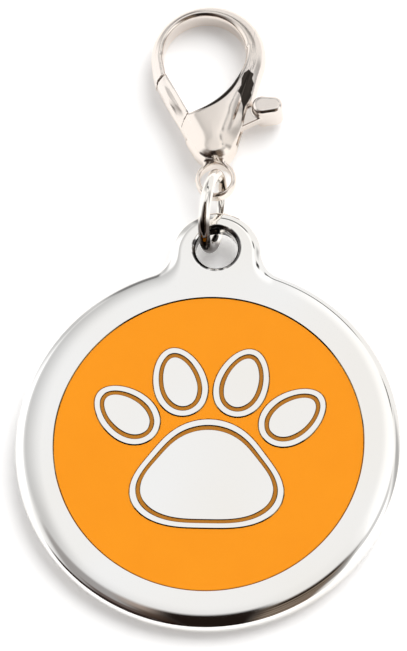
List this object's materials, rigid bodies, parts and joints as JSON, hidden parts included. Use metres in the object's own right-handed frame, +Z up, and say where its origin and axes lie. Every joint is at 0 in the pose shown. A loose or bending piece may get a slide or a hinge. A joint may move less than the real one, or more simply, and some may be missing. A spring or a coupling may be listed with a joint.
{
  "type": "pet id tag",
  "caption": "Round enamelled metal pet tag with a raised paw motif, hung by a jump ring on a small lobster clasp that snaps onto a collar ring.",
  "frame": {"origin": "on the table under the middle of the whole object's box, as it lies", "axes": "+Y from the tag towards the clasp along the tag's long axis, +X to the right seen from above, +Z up from the table"},
  "size_m": [0.03, 0.052, 0.0066],
  "materials": {
    "polished_metal": "mirror polish",
    "enamel": "glossy enamel",
    "line_enamel": "glossy enamel",
    "ring_wire": "plated wire",
    "clasp_metal": "plated, polished casting",
    "spring_wire": "plain spring wire"
  },
  "bodies": {
    "tag": {"tag_body": "polished_metal", "enamel_field": "enamel", "enamel_lines": "line_enamel"},
    "ring": {"jump_ring": "ring_wire"},
    "clasp": {"clasp_body": "clasp_metal", "lever_pin": "clasp_metal", "lever_spring": "spring_wire"},
    "lever": {"clasp_lever": "clasp_metal"}
  },
  "joints": [
    {"name": "ring_swing", "type": "hinge", "parent": "tag", "child": "ring", "pos_m": [-0.00027, 0.00747, 0.00206], "axis": [0.9829, -0.1381, 0.1219], "range_deg": [-125, 38]},
    {"name": "clasp_swing", "type": "hinge", "parent": "ring", "child": "clasp", "pos_m": [0.00011, 0.01059, 0.00225], "axis": [-0.062, 0.3748, 0.925], "range_deg": [-80, 80]},
    {"name": "lever_pivot", "type": "hinge", "parent": "clasp", "child": "lever", "pos_m": [-0.00101, 0.01482, 0.00193], "axis": [0.0084, -0.0804, -0.9967], "range_deg": [0, 35], "stiffness_Nm_per_rad": 0.0001, "springref_deg": -20.05, "deforming": ["lever_spring"]}
  ]
}
